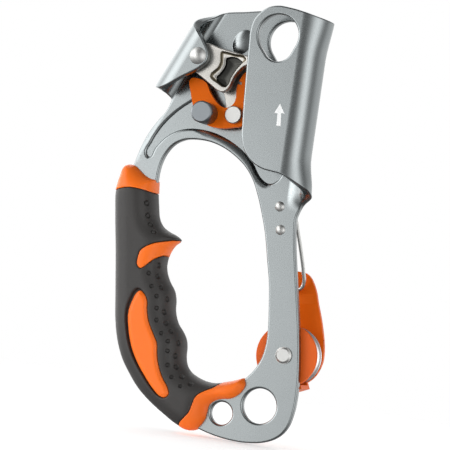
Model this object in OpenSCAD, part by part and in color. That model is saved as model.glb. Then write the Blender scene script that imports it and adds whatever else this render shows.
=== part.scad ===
// Handled rope ascender with a rear pulley. Millimetres.
// The formed plate lies in XZ and faces -Y, +Z runs up along the rope channel,
// and the origin is the centre of the large lower hole at mid thickness.

/* [Plate] */
// Thickness of the formed aluminium plate
sheet_t = 4; // [3.8:0.05:4]
// Clear width of the rope channel between its two walls
rope_gap = 13; // [12.8:0.1:13.2]
// Radius of the large lower attachment hole
attach_r = 8.2; // [7:0.1:8.3]
// Radius of the small lower hole
small_r = 5.3; // [4:0.1:5.4]
// Chamfer on both lower holes
hole_chamfer = 0.8; // [0.3:0.1:0.8]
// Depth of the pressed stiffening recess
recess_d = 0.7; // [0.3:0.1:0.8]

/* [Cam] */
// Radius of the cam's pivot rivet
cam_pin_r = 3; // [2.5:0.1:3]
// Number of rows of teeth on the cam's face
tooth_rows = 9; // [5:1:10]
// Height of a tooth
tooth_h = 1.5; // [1:0.1:1.6]
// Radius of the thumb knob
knob_r = 5.2; // [4.5:0.1:5.4]
// How far the knob stands off the lever
knob_h = 9.5; // [7:0.1:10]

/* [Grip] */
// Half depth of the hand grip
grip_d = 11.2; // [10.4:0.1:12]
// How far the orange inlays stand out of the grip
inlay_proud = 0.3; // [0:0.1:0.6]

/* [Pulley] */
// Outer radius of the sheave
sheave_r = 14.1; // [13:0.1:14.2]
// Depth of the rope groove in the sheave
groove_d = 3.6; // [2.5:0.1:3.8]
// Number of balls in the bearing
ball_count = 8; // [6:1:9]
// Radius of the gate's wire
wire_r = 0.95; // [0.8:0.05:0.95]

/* [Hidden] */
$fn = 64;

half_t = sheet_t / 2;
// rope channel: axis of its U bend
bend_x = -1.2;
bend_r = rope_gap / 2 + sheet_t;
bend_y = half_t - bend_r;
wall_y = half_t - 2 * bend_r;
// left fold: a point on its axis, its lean and its radii
fold_p = [-63.5, 138.7];
fold_lean = 24.9;
ear_gap = 11;
fold_r = ear_gap / 2 + sheet_t;
fold_y = half_t - fold_r;
ear_y = half_t - 2 * fold_r;
// joints
cam_p = [-50, 158.6];
lever_p = [-30.9, 133.5];
knob_p = [-44.3, 132.6];
axle_p = [8.4, 25.1];
gate_p = [-3, 88.4];
gate_lean = -10;
gate_y = half_t + 3.4;
gate_tilt = 14.3;
small_p = [-18, -6.2];
hole_p = [-12, 172.2];
// layers of the cam, front to back
cam_y0 = ear_y + sheet_t + 0.6;
cam_y1 = -8;
lev_y0 = -7.6;
lev_y1 = -4.9;
cam_y2 = -4.6;
cam_y3 = -half_t - 0.6;
// pulley layers, front to back
disc_y1 = half_t + 2;
shv_y0 = disc_y1 + 0.4;
shv_y1 = shv_y0 + 9.2;
brk_y0 = shv_y1 + 0.4;
brk_t = 2.2;
race_w = 5;
mid_y = (shv_y0 + shv_y1) / 2;
axle_r = 3;
race_in = 4.6;
race_out = 6.6;
bear_r = 8;
ball_r = 1.15;
pitch_r = 5.6;

// ---- curves -------------------------------------------------------------
function unit(v) = v / max(norm(v), 0.000001);
function flat2(q) = [q[0], q[1]];
function is_corner(q) = len(q) > 2;
// direction at b, weighted to the nearer neighbour
function heading(a, b, c) =
    unit(unit(b - a) * norm(c - b) + unit(c - b) * norm(b - a));
function hermite(b, c, t0, t1, s) =
    (2 * s * s * s - 3 * s * s + 1) * b + (s * s * s - 2 * s * s + s) * t0
    + (3 * s * s - 2 * s * s * s) * c + (s * s * s - s * s) * t1;
// closed smooth outline through points; a third number marks a sharp corner
function curve(p, k = 4) = let (n = len(p)) [
    for (i = [0:n - 1])
        let (a = flat2(p[(i + n - 1) % n]), b = flat2(p[i]),
            c = flat2(p[(i + 1) % n]), d = flat2(p[(i + 2) % n]),
            c0 = is_corner(p[i]), c1 = is_corner(p[(i + 1) % n]),
            t0 = norm(c - b) * (c0 ? unit(c - b) : heading(a, b, c)),
            t1 = norm(c - b) * (c1 ? unit(c - b) : heading(b, c, d)),
            m = c0 && c1 ? 1 : k)
            for (j = [0:m - 1]) hermite(b, c, t0, t1, j / m)];
// open smooth path through 2-D points
function path(p, k = 4) = let (n = len(p)) concat([
    for (i = [0:n - 2])
        let (b = p[i], c = p[i + 1],
            t0 = norm(c - b) * (i == 0 ? unit(c - b) : heading(p[i - 1], b, c)),
            t1 = norm(c - b) * (i == n - 2 ? unit(c - b) : heading(b, c, p[i + 2])))
            for (j = [0:k - 1]) hermite(b, c, t0, t1, j / k)], [p[n - 1]]);
// round bar along 3-D points, its rings set square to ref
function ring(q, t, r, s, ref) = let (u = unit(cross(t, ref)), v = cross(t, u))
    [for (j = [0:s - 1]) q + r * (cos(360 * j / s) * u + sin(360 * j / s) * v)];
module bar(q, r, s, ref) {
    n = len(q);
    pts = [for (i = [0:n - 1])
        each ring(q[i], unit(q[min(i + 1, n - 1)] - q[max(i - 1, 0)]), r, s, ref)];
    sides = [for (i = [0:n - 2]) for (j = [0:s - 1])
        [i * s + j, (i + 1) * s + j, (i + 1) * s + (j + 1) % s, i * s + (j + 1) % s]];
    ends = [[for (j = [0:s - 1]) j], [for (j = [s - 1:-1:0]) (n - 1) * s + j]];
    polyhedron(pts, concat(sides, ends), convexity = 6);
}

// ---- helpers ------------------------------------------------------------
// a flat shape drawn in XZ, from y0 to y1
module slab(y0, y1) {
    translate([0, y1, 0]) rotate([90, 0, 0]) linear_extrude(y1 - y0) children();
}
// a round bar along Y
module pin(p, y0, y1, r) {
    translate([p[0], y1, p[1]]) rotate([90, 0, 0]) cylinder(h = y1 - y0, r = r);
}
// a cone along Y, radius ra at y0 and rb at y1
module cone(p, y0, y1, ra, rb) {
    translate([p[0], y1, p[1]]) rotate([90, 0, 0]) cylinder(h = y1 - y0, r1 = rb, r2 = ra);
}
// a domed rivet head on the face at y, h high, toward dir (-1 front, 1 back)
module dome(p, y, r, h, dir) {
    big = (r * r + h * h) / (2 * h);
    translate([p[0], y, p[1]]) rotate([90 * -dir, 0, 0]) rotate_extrude()
        intersection() {
            translate([0, h - big]) circle(big, $fn = 96);
            square([r + 1, h + 1]);
        }
}
// half of a round sheet bend along local Z, on its +X side
module half_bend(r_out, z0, z1) {
    difference() {
        translate([0, 0, z0]) cylinder(h = z1 - z0, r = r_out);
        translate([0, 0, z0 - 1]) cylinder(h = z1 - z0 + 2, r = r_out - sheet_t);
        translate([-2 * r_out, -2 * r_out, z0 - 1])
            cube([2 * r_out, 4 * r_out, z1 - z0 + 2]);
    }
}

// ---- outlines (x, z) ----------------------------------------------------
// a point h along the fold line of the left ear
function fold_at(h) = [fold_p[0] + h * sin(fold_lean), fold_p[1] + h * cos(fold_lean), 1];
plate_outline = [
    [-1.2, 184.4, 1], [-8.6, 185.3], [-14, 185.5], [-26.5, 184.8], [-35, 183.5], fold_at(48.2),
    fold_at(-1.6), [-66.2, 135.8], [-67.3, 132.4], [-70.3, 128.2], [-74.3, 121.8],
    [-77, 115.6], [-80, 104.5], [-82.4, 92], [-81.8, 76], [-77.2, 48], [-74.6, 34],
    [-70.6, 21], [-63.8, 9.5], [-55.6, 1.2], [-46, -5.8], [-37.5, -11.2], [-30, -14.6],
    [-21.9, -16.8], [-12, -18.1], [-3, -18], [3.4, -16.9], [8.8, -14.7], [12.8, -11.5],
    [15.4, -7.2], [16.8, -1.5], [17.4, 6], [16.8, 17.5], [15.5, 28], [13.4, 40], [8.3, 65],
    [5.8, 78], [4.8, 85.5], [4.7, 89.5], [5.6, 92.8], [6.9, 96.7, 1], [-1.2, 96.7, 1]];
opening_outline = [
    [-66.9, 98.5], [-66.8, 102], [-66.1, 107], [-64, 112.6], [-60.4, 117.1], [-56, 119.5],
    [-49.5, 120.4], [-43, 120], [-36.5, 118.2], [-29.5, 114.6], [-23.6, 110], [-19.2, 104.4],
    [-15.8, 97.6], [-13, 90.6], [-10, 81.9], [-6.6, 68.1], [-4.4, 59], [-2.7, 48], [-1.5, 38],
    [-1.1, 32], [-1.3, 27.6], [-2.4, 22], [-4.6, 17.2], [-8.2, 12.4], [-13, 7.6], [-19, 4.4],
    [-27, 3.4], [-36, 5.6], [-45, 10.8], [-52, 18], [-57, 27], [-60.4, 38], [-64.2, 58],
    [-68.2, 74], [-69.6, 86], [-68.2, 94]];
wall_outline = [
    [-1.2, 184.4, 1], [-8.6, 185.6], [-13, 185.9], [-18.2, 184.6], [-21.8, 181.8],
    [-24.4, 178], [-25.4, 173.5], [-25.2, 166], [-24.1, 146], [-22.9, 130], [-22.1, 122.5],
    [-20.9, 118.6], [-18.6, 115], [-15.2, 111.8], [-10.4, 109.5], [-5, 108.6], [-1.2, 108.1, 1]];
// in the fold's own frame: x across the fold, z along it
ear_outline = [
    [0, 32.3, 1], [3.4, 30.4], [6.4, 28.4], [8.4, 25.8], [8.9, 23.2], [7.9, 20],
    [5.2, 15.4], [2.4, 11.2], [0, 7.2, 1]];
recess_outline = [
    [-74, 110.6], [-72.4, 116.6], [-69.2, 123.2], [-65.2, 128.8], [-60.6, 133.6],
    [-54, 139], [-46, 146], [-42, 150, 1], [-4.6, 150, 1], [-4.6, 122], [-5, 112.4],
    [-6, 107.4], [-8.2, 103.6], [-11.4, 102], [-14.2, 103.4], [-16.6, 107.2], [-20, 112],
    [-24.3, 116.2], [-29, 119.4], [-35, 122.4], [-42, 124.6], [-49.6, 125.4], [-56, 124.8],
    [-61.5, 122.9], [-66.5, 119.2], [-70.4, 114.2], [-73, 109.4]];

// cam face: the radius grows toward the lower end, so that it bites
function face(t) = cam_p + (51 + 4.5 * t) * [cos(-8 - 19 * t), sin(-8 - 19 * t)];
cam_outline = concat(
    [[-55.9, 158.6], [-55.2, 155.2], [-53.4, 152.4], [-50.6, 150.6], [-46.4, 148.1],
    [-42.4, 145.6], [-39.3, 143.8], [-37.1, 143.3], [-35, 144.3], [-33.8, 146.2],
    [-33.1, 148.6], [-32.1, 151.2], [-30.2, 154.1], [-27.8, 156.6], [-24.6, 157.6],
    [-20.6, 155.4], [-17, 151], [-13.6, 145], [-9.6, 138.6], [-5, 134.6]],
    [for (i = [8:-1:0]) let (q = face(i / 8)) i == 8 ? [q[0], q[1], 1] : q],
    [[-2.4, 155.6], [-8, 158.4], [-16, 160.2], [-26.8, 161.6], [-36.1, 163.1],
    [-41.2, 164], [-46.4, 165.4], [-49.4, 165.4], [-52.6, 163.9], [-55, 161.6]]);
// the cam's pocket has a shallow first step and a deep floor
pocket_outline = [
    [-40.6, 161.7], [-39.9, 162.6], [-38.5, 162.6], [-33.4, 161.9], [-28, 160.9],
    [-27.3, 159.6], [-28.7, 157.9], [-31.6, 153.8], [-33.3, 150.3], [-34.2, 147.1],
    [-35.5, 145.6], [-37.2, 145.6], [-40, 147], [-43, 148.6], [-44.2, 149.9],
    [-43.9, 151.6], [-42.5, 153.1], [-41, 154.8], [-40.3, 157.2], [-40.5, 159.6]];
floor_outline = [
    [-37.7, 159.4], [-36.4, 160.1], [-30.4, 159.2], [-29.3, 158.2], [-31.4, 155.6],
    [-33.4, 152.6], [-34.6, 149.4], [-35.2, 147], [-36.2, 146.2], [-37.6, 146.5],
    [-41, 149.1], [-41.2, 150.2], [-40.1, 151.6], [-38.5, 154], [-37.7, 156.7]];
flange_outline = [
    [-52, 160], [-50, 153], [-45, 150], [-41.4, 146.6], [-38.4, 142.6], [-37, 138.6],
    [-36.4, 134], [-34.6, 130.2], [-30.9, 128.5], [-27.4, 130.2], [-25.6, 133.6],
    [-25.6, 140], [-25, 148], [-23, 154], [-20, 158], [-26.8, 161.4], [-38, 162.6],
    [-48, 163.6]];
lever_outline = [
    [-54.9, 148.7], [-51, 148.8], [-46.8, 146.9], [-45.1, 144], [-43, 141], [-40.4, 138.4],
    [-38.1, 136.9], [-36, 136.5], [-33.8, 137.2], [-32, 139.2], [-31.4, 141.8], [-31.7, 145.2],
    [-31.5, 148.2], [-30.4, 151.4], [-27.8, 154.6], [-25.2, 154.4], [-23.8, 151], [-23.6, 144],
    [-23.4, 137], [-24.2, 131.6], [-27, 128.6], [-31, 127.6], [-35, 126.8], [-39.6, 126.6],
    [-43.4, 127.2], [-46.2, 128.4], [-50, 132], [-52.4, 136.4], [-54, 141]];

grip_outline = [
    [-83, 103.9], [-79, 104.1], [-76.4, 102.4], [-73.4, 100.2], [-70.4, 98.9], [-67.4, 98.5, 1],
    [-66.6, 91.6], [-65.6, 86.6], [-63.8, 80], [-61.3, 77], [-57.6, 75], [-53, 73.2],
    [-51.5, 71.9], [-54.2, 68.8], [-55.9, 65.8], [-57, 61.6], [-56.9, 57.6], [-54.4, 51.8],
    [-51.3, 47.6], [-49.9, 43.4], [-49.4, 38.4], [-47.1, 32.6], [-43.7, 28.6], [-41.7, 25.2],
    [-40.9, 21.6], [-40.6, 17], [-39.2, 13], [-36.9, 10.6], [-33.6, 8.9], [-29.4, 7.6],
    [-24.6, 7.2], [-19.6, 8], [-14.6, 9.5], [-9.4, 11.6, 1], [-8.2, 9], [-9.2, 6], [-11.8, 2.9],
    [-14.8, 1.2], [-18.2, 0.6], [-21.8, -0.7], [-24.4, -3.2], [-25, -6.6], [-25.4, -9.8],
    [-27, -13], [-29.8, -15.8], [-33, -16.5], [-38, -15.2], [-46, -11], [-54.2, -5.9],
    [-60.4, -0.9], [-66, 5.5], [-70.4, 11.6], [-73.6, 18.2], [-76.1, 26], [-79.1, 43.8],
    [-82, 62.9], [-85.2, 81.9], [-86.3, 91], [-85.2, 98]];
top_region = [
    [-95, 90], [-84.4, 91.6], [-77, 93.3], [-70, 92.9], [-60, 90, 1], [-60, 110, 1], [-95, 110, 1]];
bottom_region = [
    [-39, -22, 1], [-36.6, -14.6], [-33, -10.3], [-31, -7.4], [-30.2, -4], [-28.6, 0.6],
    [-25.1, 3.4], [-21.6, 5.4], [-19, 8.4], [-17, 14, 1], [0, 14, 1], [0, -22, 1]];
blade_region = [
    [-46, 73, 1], [-56.5, 70], [-61, 68.4], [-64.6, 66.2], [-66.8, 64], [-67.4, 61],
    [-67.2, 57.2], [-65.4, 55.8], [-63, 57.2], [-60, 60], [-56, 62.6], [-46, 67, 1]];
inlay_outline = [
    [-64.1, 45.2], [-61.8, 44], [-59.9, 41.2], [-59.2, 36.8], [-57.6, 31.6], [-54.5, 26.2],
    [-51.8, 21.6], [-51.1, 17.4], [-49.4, 11.6], [-46.6, 6.2], [-43.2, 1.6], [-42.4, -0.8],
    [-43.8, -2.5], [-46.4, -2.4], [-50, 0.2], [-54.6, 5], [-59.4, 10.8], [-63.8, 18],
    [-66.8, 26.6], [-68.1, 34.6], [-66.9, 40.6], [-65.6, 43.8]];
// bracket outline in its own frame: x across the arm, z up along it from the axle
bracket_outline = [
    [14.8, 5.3], [13.8, 14.8], [11.6, 25.8], [9.5, 33.8], [7.9, 37.1], [5.9, 39.1],
    [3.4, 39.9], [-3, 39.9], [-5.4, 39.2], [-7.1, 37.1], [-8.4, 33.7], [-9.6, 25.7],
    [-10.8, 14.8], [-12, 5.3], [-12, 0, 1], [13, -5.8, 1], [14.2, -2.8], [14.8, 1.5]];

// ---- plate --------------------------------------------------------------
// egg-shaped upper hole: a large circle, a smaller one below it and their tangents
module egg(r1, r2, d) {
    a = asin((r1 - r2) / d);
    e = 0.03;
    circle(r1);
    translate([0, -d]) circle(r2);
    polygon([for (q = [[r1, 0, 1], [r2, d, 1], [r2, d, -1], [r1, 0, -1]])
        [q[2] * (q[0] - e) * cos(a), -q[1] - (q[0] - e) * sin(a)]]);
}
module channel() {
    translate([bend_x, bend_y, 0]) difference() {
        half_bend(bend_r, 90, 186);
        // the lower edge climbs from the back to the front
        rotate([90, 0, 90]) linear_extrude(20)
            polygon([[-bend_r - 1, 80], [bend_r + 1, 80], [bend_r + 1, 96.7],
                [-half_t - bend_y, 96.7], [-bend_r - 1, 108.8]]);
        // the upper edge falls a little toward the outside of the bend
        translate([0, 20, 0]) rotate([90, 0, 0]) linear_extrude(40)
            polygon([[-0.1, 184.4], [12, 181.9], [12, 190], [-0.1, 190]]);
    }
    slab(wall_y, wall_y + sheet_t) polygon(curve(wall_outline));
}
module left_fold() {
    translate([fold_p[0], 0, fold_p[1]]) rotate([0, fold_lean, 0]) {
        difference() {
            translate([0, fold_y, 0]) mirror([1, 0, 0]) half_bend(fold_r, -2, 52);
            // upper edge, lower toward the front
            translate([-20, 0, 0]) rotate([90, 0, 90]) linear_extrude(30)
                polygon([[3, 47.5], [-18, 31.8], [-18, 60], [3, 60]]);
            // lower edge
            translate([-20, 0, 0]) rotate([90, 0, 90]) linear_extrude(30)
                polygon([[3, -1.4], [-18, 0.2], [-18, -9], [3, -9]]);
            slab(ear_y - 1, ear_y + sheet_t + 1)
                polygon([[0.1, 7.1], [-4.6, 0.2], [-4.6, -5], [0.1, -5]]);
        }
        slab(ear_y, ear_y + sheet_t) polygon(curve(ear_outline));
    }
}
module frame() {
    color("lightsteelblue") difference() {
        union() {
            slab(-half_t, half_t) difference() {
                polygon(curve(plate_outline, 3));
                polygon(curve(opening_outline, 3));
            }
            slab(half_t - 0.1, half_t + recess_d) polygon(curve(recess_outline, 3));
            channel();
            left_fold();
            // pressed boss that stops the closing cam
            cone([-34.2, 168.9], -half_t - 4.6, -half_t + 0.1, 1.9, 4.7);
        }
        slab(-half_t - 0.5, -half_t + recess_d) polygon(curve(recess_outline, 3));
        translate([hole_p[0], 5, hole_p[1]]) rotate([90, 0, 0]) linear_extrude(30)
            rotate(8) egg(9.7, 7.2, 5.05);
        pin([0, 0], -5, 5, attach_r);
        pin(small_p, -5, 5, small_r);
        for (s = [-1, 1], h = [[[0, 0], attach_r], [small_p, small_r]])
            cone(h[0], s * half_t - hole_chamfer, s * half_t + hole_chamfer,
                h[1] + hole_chamfer * (1 - s), h[1] + hole_chamfer * (1 + s));
        pin(cam_p, ear_y - 5, 5, cam_pin_r + 0.02);
        pin(axle_p, -5, 5, axle_r + 0.02);
        for (s = [-5.5, 5.5]) pin(rivet_at(s), -5, 5, 1.42);
    }
}
function rivet_at(s) = [gate_p[0] + s * sin(gate_lean), gate_p[1] + s * cos(gate_lean)];

// ---- cam and its lever --------------------------------------------------
module cam() {
    color("silver") difference() {
        union() {
            // front plate with its ribbed rim
            slab(cam_y0, cam_y1) polygon(curve(cam_outline));
            // solid sector behind the teeth
            intersection() {
                slab(cam_y1 - 0.1, cam_y2) polygon(curve(cam_outline));
                translate([-22, -20, 120]) cube([40, 40, 60]);
            }
            slab(cam_y2, cam_y3) intersection() {
                polygon(curve(flange_outline));
                translate([-70, 100]) square([53, 100]);
            }
            pin(cam_p, cam_y0, cam_y3, 5.9);
            for (i = [0:tooth_rows - 1], c = [-2.4, 0, 2.4])
                if (i % 2 == 0 || c != 0)
                    tooth((i + 0.5) / tooth_rows, bend_y + (i % 2 == 0 ? c : c / 2));
        }
        slab(cam_y0 - 1, cam_y0 + 1.1) polygon(curve(pocket_outline));
        slab(cam_y0 - 1, cam_y0 + 3.6) polygon(curve(floor_outline));
        pin(cam_p, cam_y0 - 1, cam_y3 + 1, cam_pin_r + 0.06);
        pin(cam_p, cam_y3 - 3.5, cam_y3 + 1, 5);
        pin(lever_p, cam_y2 - 1, cam_y3 + 1, 2.02);
    }
}
module tooth(t, y) {
    q = face(t);
    a = -8 - 19 * t;
    translate([q[0], y, q[1]]) rotate([0, 90 - a, 0]) translate([0, 0, -0.6])
        cylinder(h = tooth_h + 0.6, r1 = 1.1, r2 = 0.15, $fn = 24);
}
module cam_pivot() {
    color("gainsboro") {
        pin(cam_p, ear_y - 0.05, half_t + 0.05, cam_pin_r);
        dome(cam_p, ear_y, 4.1, 1.9, -1);
        dome(cam_p, half_t, 4.3, 1.5, 1);
    }
}
// a coil round Y: mean radius r, wire radius w, n turns from y0 on
function coil(p, r, n, y0, pitch, k = 20) = [for (i = [0:n * k])
    [p[0] + r * cos(360 * i / k), y0 + pitch * i / k, p[1] + r * sin(360 * i / k)]];
module cam_spring() {
    color("dimgray")
        bar(coil(cam_p, 4.05, 2.5, cam_y3 - 2.95, 0.98), 0.45, 8, [0, 1, 0]);
}
module safety_lever() {
    color("orangered") difference() {
        slab(lev_y0, lev_y1) polygon(curve(lever_outline));
        pin(lever_p, lev_y0 - 1, lev_y1 + 1, 2.08);
        pin(lever_p, lev_y1 - 1.9, lev_y1 + 1, 4.4);
        pin(knob_p, lev_y0 - 1, lev_y1 + 1, 1.62);
        // notch where the spring's leg shows
        slab(lev_y0 - 1, lev_y1 + 1) polygon([[-32.4, 148.4], [-29.6, 148.2], [-29.6, 149.3], [-32.2, 149.9]]);
    }
}
module lever_rivet() {
    color("gainsboro") {
        pin(lever_p, lev_y0 - 0.1, cam_y3, 2);
        pin(lever_p, lev_y0 - 1.9, lev_y0 - 0.02, 4.15);
        cone(lever_p, lev_y0 - 2.3, lev_y0 - 1.9, 3.75, 4.15);
    }
}
module lever_spring() {
    color("dimgray")
        bar(coil(lever_p, 3.4, 1.75, lev_y1 - 1.45, 0.72), 0.33, 8, [0, 1, 0]);
}
module thumb_knob() {
    color("lightslategray") difference() {
        union() {
            pin(knob_p, lev_y0 - knob_h + 0.7, lev_y0, knob_r);
            cone(knob_p, lev_y0 - knob_h, lev_y0 - knob_h + 0.7, knob_r - 0.7, knob_r);
        }
        pin(knob_p, lev_y0 - 4, lev_y0 + 1, 1.62);
    }
}
module knob_stud() {
    color("gainsboro") {
        pin(knob_p, lev_y0 - 3.9, lev_y1 + 0.05, 1.6);
        pin(knob_p, lev_y1, lev_y1 + 0.9, 2.8);
    }
}

// ---- grip ---------------------------------------------------------------
module grip_solid(y0, y1) {
    intersection() {
        union() {
            slab(-grip_d + 3.2, grip_d - 3.2) polygon(curve(grip_outline, 3));
            slab(-grip_d, grip_d) offset(delta = -2.4) polygon(curve(grip_outline, 3));
        }
        translate([-100, y0, -30]) cube([100, y1 - y0, 150]);
    }
}
module leg_pocket() {
    slab(-half_t - 0.05, half_t + 0.05) difference() {
        offset(delta = 0.08) polygon(curve(plate_outline, 3));
        offset(delta = -0.08) polygon(curve(opening_outline, 3));
    }
}
module trims() {
    slab(-20, 20) {
        polygon(curve(top_region));
        polygon(curve(bottom_region));
        polygon(curve(blade_region));
    }
}
module grip_half(y0, y1, pocket0, pocket1) {
    difference() {
        grip_solid(y0, y1);
        leg_pocket();
        trims();
        slab(pocket0, pocket1) offset(delta = 0.3) polygon(curve(inlay_outline));
    }
}
module grip_front() {
    color("dimgray") grip_half(-grip_d, 0, -grip_d - 1, -grip_d + 2.2);
}
module grip_rear() {
    color("dimgray") grip_half(0, grip_d, grip_d - 2.2, grip_d + 1);
}
module trim(region) {
    color("orangered") difference() {
        intersection() {
            grip_solid(-grip_d, grip_d);
            slab(-20, 20) polygon(curve(region));
        }
        leg_pocket();
    }
}
module top_collar() {
    trim(top_region);
}
module bottom_collar() {
    trim(bottom_region);
}
module finger_blade() {
    trim(blade_region);
}
module inlay_front() {
    color("orangered") slab(-grip_d - inlay_proud, -grip_d + 2.2) polygon(curve(inlay_outline));
}
module inlay_rear() {
    color("orangered") slab(grip_d - 2.2, grip_d + inlay_proud) polygon(curve(inlay_outline));
}

// ---- pulley -------------------------------------------------------------
// a tube along Y round the axle
module tube(y0, y1, r0, r1) {
    difference() {
        pin(axle_p, y0, y1, r1);
        pin(axle_p, y0 - 1, y1 + 1, r0);
    }
}
// a round groove at radius r, of section radius c, round the axle
module groove(y, r, c) {
    translate([axle_p[0], y, axle_p[1]]) rotate([90, 0, 0]) rotate_extrude()
        translate([r, 0]) circle(c);
}
module pulley_axle() {
    color("gainsboro") {
        pin(axle_p, -half_t - 0.05, brk_y0 + brk_t + 0.05, axle_r);
        pin(axle_p, -half_t - 0.9, -half_t, 3.95);
        cone(axle_p, -half_t - 1.6, -half_t - 0.85, 2.9, 3.9);
        dome(axle_p, brk_y0 + brk_t, 4.6, 1.6, 1);
    }
}
module guard_disc() {
    color("darkorange") tube(half_t + 0.02, disc_y1, axle_r + 0.02, 14.9);
}
module sheave() {
    color("gainsboro") difference() {
        tube(shv_y0, shv_y1, bear_r, sheave_r);
        groove(mid_y, sheave_r + 4 - groove_d, 4);
    }
}
module bearing_outer() {
    color("silver") difference() {
        tube(mid_y - race_w / 2, mid_y + race_w / 2, race_out, bear_r - 0.01);
        groove(mid_y, pitch_r, ball_r + 0.05);
    }
}
module bearing_inner() {
    color("silver") difference() {
        tube(mid_y - race_w / 2, mid_y + race_w / 2, axle_r + 0.03, race_in);
        groove(mid_y, pitch_r, ball_r + 0.05);
    }
}
module bearing_balls() {
    color("silver") for (i = [0:ball_count - 1])
        translate([axle_p[0] + pitch_r * cos(360 * i / ball_count), mid_y,
            axle_p[1] + pitch_r * sin(360 * i / ball_count)]) sphere(ball_r);
}
module axle_spacers() {
    color("silver") {
        tube(disc_y1, mid_y - race_w / 2, axle_r + 0.03, 4.4);
        tube(mid_y + race_w / 2, brk_y0, axle_r + 0.03, 4.4);
    }
}
module bracket() {
    color("orangered") translate([axle_p[0], 0, axle_p[1]]) difference() {
        union() {
            rotate([0, -8.2, 0]) intersection() {
                slab(brk_y0 - 1, brk_y0 + 6) union() {
                    circle(14.2);
                    polygon(curve(bracket_outline));
                }
                // side profile: the tip is set back behind two bends
                translate([-20, 0, 0]) rotate([90, 0, 90]) linear_extrude(40) polygon([
                    [brk_y0, -20], [brk_y0, 24.6], [brk_y0 + 1.2, 29.2], [brk_y0 + 1.2, 45],
                    [brk_y0 + 1.2 + brk_t, 45], [brk_y0 + 1.2 + brk_t, 29],
                    [brk_y0 + brk_t, 24.4], [brk_y0 + brk_t, -20]]);
            }
            // lip that hooks against the plate and keeps the bracket from turning
            rotate([0, -24, 0]) {
                translate([-3, brk_y0, -17]) cube([6, brk_t, 6.6]);
                translate([-3, half_t + 0.05, -17]) cube([6, brk_y0 + brk_t - half_t - 0.05, 1.8]);
            }
        }
        pin([0, 0], 0, 30, axle_r + 0.02);
    }
}

// ---- wire gate ----------------------------------------------------------
module gate_frame() {
    translate([gate_p[0], gate_y, gate_p[1]]) rotate([0, gate_lean, 0]) children();
}
module gate_block() {
    color("dimgray") difference() {
        gate_frame() {
            translate([-4, half_t - gate_y + 0.03, -8.4]) cube([8, 3.4, 16.8]);
            translate([-4, 0, 0]) rotate([0, 90, 0]) cylinder(h = 8, r = 3);
        }
        gate_frame() translate([-6, 0, 0]) rotate([0, 90, 0]) cylinder(h = 12, r = wire_r + 0.05);
        for (s = [-5.5, 5.5]) pin(rivet_at(s), 0, 12, 1.42);
    }
}
module gate_rivets() {
    color("gainsboro") for (s = [-5.5, 5.5]) {
        pin(rivet_at(s), -half_t - 0.05, gate_y + 0.08, 1.4);
        dome(rivet_at(s), -half_t, 2.4, 1.1, -1);
        dome(rivet_at(s), gate_y + 0.03, 2.3, 0.9, 1);
    }
}
// the gate's outline in its own plane: x across, s down from the hinge
gate_side = [[1.6, 0], [4, 0], [4.4, 0], [5.25, 0.35], [5.6, 1.4], [5.8, 4.5], [6.5, 15],
    [6.8, 26], [6.6, 30.6], [5.3, 33.3], [2.6, 34.5]];
module wire_gate() {
    left = [for (i = [len(gate_side) - 1:-1:0]) [-gate_side[i][0], gate_side[i][1]]];
    line = path(concat(gate_side, left), 4);
    color("silver") gate_frame()
        bar([for (q = line) [q[0], q[1] * sin(gate_tilt), -q[1] * cos(gate_tilt)]],
            wire_r, 12, [0, cos(gate_tilt), sin(gate_tilt)]);
}

frame();
cam();
cam_pivot();
cam_spring();
safety_lever();
lever_rivet();
lever_spring();
thumb_knob();
knob_stud();
grip_front();
grip_rear();
top_collar();
bottom_collar();
finger_blade();
inlay_front();
inlay_rear();
pulley_axle();
guard_disc();
sheave();
bearing_outer();
bearing_inner();
bearing_balls();
axle_spacers();
bracket();
gate_block();
gate_rivets();
wire_gate();
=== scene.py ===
import bmesh
import bpy
import math
import numpy as np
from mathutils import Matrix, Vector
from mathutils.geometry import delaunay_2d_cdt


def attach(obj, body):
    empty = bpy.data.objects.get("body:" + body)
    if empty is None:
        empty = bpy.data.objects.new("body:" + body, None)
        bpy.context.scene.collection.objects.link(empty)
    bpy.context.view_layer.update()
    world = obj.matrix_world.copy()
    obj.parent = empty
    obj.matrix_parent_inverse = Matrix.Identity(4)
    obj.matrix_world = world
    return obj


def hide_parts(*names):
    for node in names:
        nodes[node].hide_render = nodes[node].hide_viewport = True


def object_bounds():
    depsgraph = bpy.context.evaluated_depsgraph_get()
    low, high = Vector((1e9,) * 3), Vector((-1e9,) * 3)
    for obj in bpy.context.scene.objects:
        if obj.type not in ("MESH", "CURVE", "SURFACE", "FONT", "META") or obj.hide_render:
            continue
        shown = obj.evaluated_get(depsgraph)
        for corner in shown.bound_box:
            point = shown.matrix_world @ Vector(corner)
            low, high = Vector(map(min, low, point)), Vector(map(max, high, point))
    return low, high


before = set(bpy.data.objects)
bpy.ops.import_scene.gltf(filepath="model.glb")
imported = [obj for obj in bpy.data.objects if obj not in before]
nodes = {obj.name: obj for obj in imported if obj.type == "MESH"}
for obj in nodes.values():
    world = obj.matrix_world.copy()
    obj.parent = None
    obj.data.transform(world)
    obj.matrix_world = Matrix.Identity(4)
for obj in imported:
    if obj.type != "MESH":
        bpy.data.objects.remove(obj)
low0, high0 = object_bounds()
MM = 0.001


# ---- curves and plane geometry (all in millimetres) -----------------------
def unit(v):
    return v / max(float(np.hypot(v[0], v[1])), 1e-9)


def heading(a, b, c):
    return unit(unit(b - a) * np.hypot(*(c - b)) + unit(c - b) * np.hypot(*(b - a)))


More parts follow.
